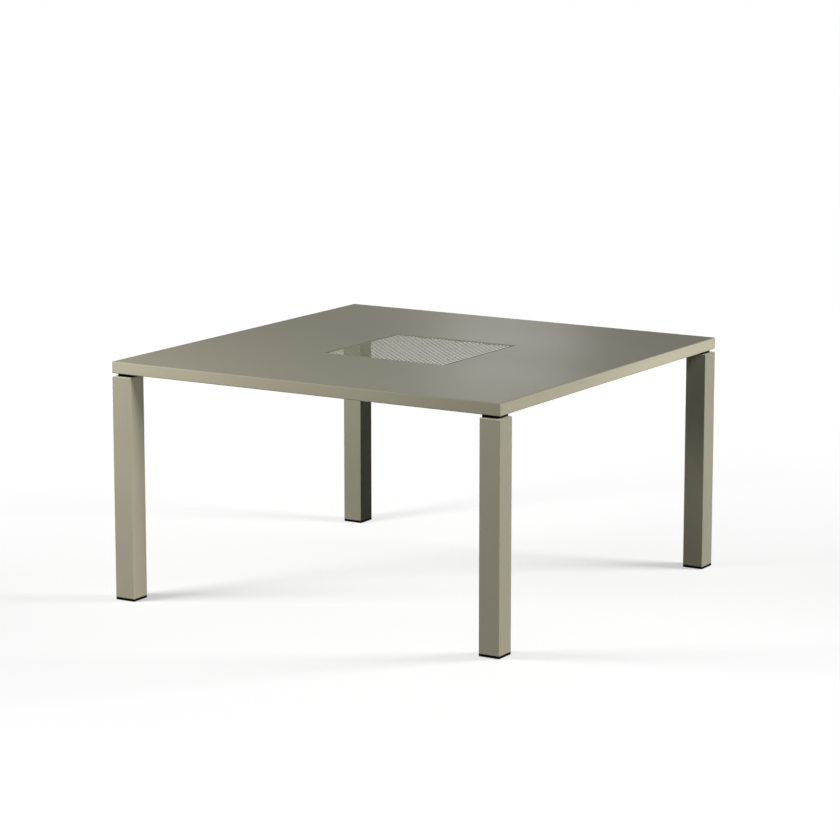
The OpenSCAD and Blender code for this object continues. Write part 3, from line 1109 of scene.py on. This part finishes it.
def floor_glow(recipe):
    """What the two lamps lack to white on the open floor, less a painted soft shade under the table."""
    rest = 1.0
    for spot, power in ((LEFT_SPOT, LEFT_POWER), (LOW_SPOT, LOW_POWER)):
        rest = recipe.maths("SUBTRACT", rest, lamp_share(recipe, spot, power))
    far_out = recipe.add("ShaderNodeMapRange", interpolation_type="SMOOTHSTEP")
    far_out.inputs["From Min"].default_value = WHITE_FROM
    far_out.inputs["From Max"].default_value = WHITE_TO
    recipe.link(recipe.vectors("LENGTH", recipe.place).outputs["Value"], far_out.inputs["Value"])
    rest = recipe.maths("MAXIMUM", rest, far_out.outputs["Result"])
    # Painted shade: the floor's glow is dimmed where ambient occlusion finds the table close above
    cover = recipe.add("ShaderNodeAmbientOcclusion", samples=4)
    cover.inputs["Distance"].default_value = SHADE_REACH
    uncovered = recipe.maths("MULTIPLY", cover.outputs["AO"], SHADE_DEPTH)
    open_sky = recipe.maths("ADD", uncovered, 1 - SHADE_DEPTH)
    glow = recipe.add("ShaderNodeEmission")
    recipe.link(recipe.maths("MULTIPLY", rest, open_sky), glow.inputs["Strength"])
    return glow.outputs["Emission"]


def floor_finish():
    """White with the table's shadow where it is seen, dark for bounced light, and clear from below."""
    recipe = Recipe("floor")
    recipe.tree.nodes.remove(recipe.shader)
    lit = recipe.add("ShaderNodeAddShader")
    recipe.link(recipe.matt(FLOOR_GREY), lit.inputs[0])
    recipe.link(floor_glow(recipe), lit.inputs[1])
    above = recipe.mixed(light_seen(recipe.tree), recipe.matt(FLOOR_BOUNCE), lit.outputs["Shader"])
    clear = recipe.add("ShaderNodeBsdfTransparent").outputs["BSDF"]
    from_below = recipe.add("ShaderNodeNewGeometry").outputs["Backfacing"]
    surface = recipe.mixed(from_below, above, clear)
    recipe.link(surface, recipe.tree.nodes["Material Output"].inputs["Surface"])
    return recipe.material


def make_floor():
    """A white floor that keeps the table's shadow, and throws little light back."""
    bpy.ops.object.select_all(action="DESELECT")
    bpy.ops.mesh.primitive_plane_add(size=FLOOR_SIZE)
    floor = bpy.context.object
    floor.name = "floor"
    floor.data.materials.append(floor_finish())
    return floor


def make_lamps(floor):
    """The studio's lamps, each kept to the faces that it is there for."""
    top = [bpy.data.objects[name] for name in ("tabletop", "rods", "end_bar_back", "end_bar_front")]
    legs = [
        bpy.data.objects[part + "_" + corner]
        for part in ("leg", "leg_spacer", "foot")
        for corner in CORNERS
    ]

    # The shadows on the floor, and the light that falls off across the top
    left = make_lamp("left_lamp", "AREA", LEFT_SPOT, LEFT_POWER, shape="SQUARE", size=1.1)
    shine(left, [floor] + top, "INCLUDE")
    low = make_lamp("low_lamp", "AREA", LOW_SPOT, LOW_POWER, shape="RECTANGLE", size=1.4, size_y=0.25)
    shine(low, [floor], "INCLUDE")

    # The front of the table
    front = make_lamp("front_lamp", "AREA", (0, -3.3, 2.75), 38, shape="SQUARE", size=1.4)
    shine(front, [floor], "EXCLUDE")

    # The back of the top, where the back lamp shows in the gloss, and its right end and edge
    back = make_lamp("back_lamp", "AREA", (-0.51, 1.41, 1.3), 2.5, shape="SQUARE", size=0.5)
    back.visible_glossy = True
    edge = make_lamp("edge_lamp", "AREA", (1.5, 0.5, 0.8), 3.9, shape="SQUARE", size=0.4)
    side = make_lamp("side_light", "SUN", (10, 0, 1.02), 3.9, angle=math.radians(20))
    for lamp in (back, edge, side):
        shine(lamp, top, "INCLUDE")

    # The legs: their right, front and back faces, with the far left leg's right face left dark,
    # and a little more light on the front left leg
    leg_sun = make_lamp("leg_light", "SUN", (7.4, -1.0, 6.9), 3.75, angle=math.radians(25))
    leg_lamp = make_lamp("leg_lamp", "AREA", (-2.87, -1.66, 2.74), 205, shape="SQUARE", size=1.4)
    back_sun = make_lamp("back_light", "SUN", (-4.2, 9.0, 1.5), 1.5, angle=math.radians(20))
    shine(leg_sun, [floor, bpy.data.objects["leg_back_left"]] + top, "EXCLUDE")
    for lamp in (leg_lamp, back_sun):
        shine(lamp, [floor] + top, "EXCLUDE")
    fill = make_lamp("fill_light", "SUN", (10, -5, 1.5), 1.15, angle=math.radians(20))
    shine(fill, [bpy.data.objects["leg_front_left"]], "INCLUDE")

    # The frame under the top
    under = make_lamp("under_lamp", "AREA", (0, 0, 0.03), 3.5, shape="SQUARE", size=1.1)
    under.rotation_euler = (math.radians(180), 0, 0)
    shine(under, [floor] + legs, "EXCLUDE")


# The table, the camera and the studio, in turn
make_tabletop()
make_rails()
make_ribs()
make_weld_beads()
make_castings()
make_rivets()
make_legs()
make_spacers()
make_foot_caps()
make_glides()
make_grille()
make_shelves()
finish_cad_pieces()
make_camera()
make_world()
make_lamps(make_floor())

bpy.context.scene.view_settings.view_transform = "Standard"
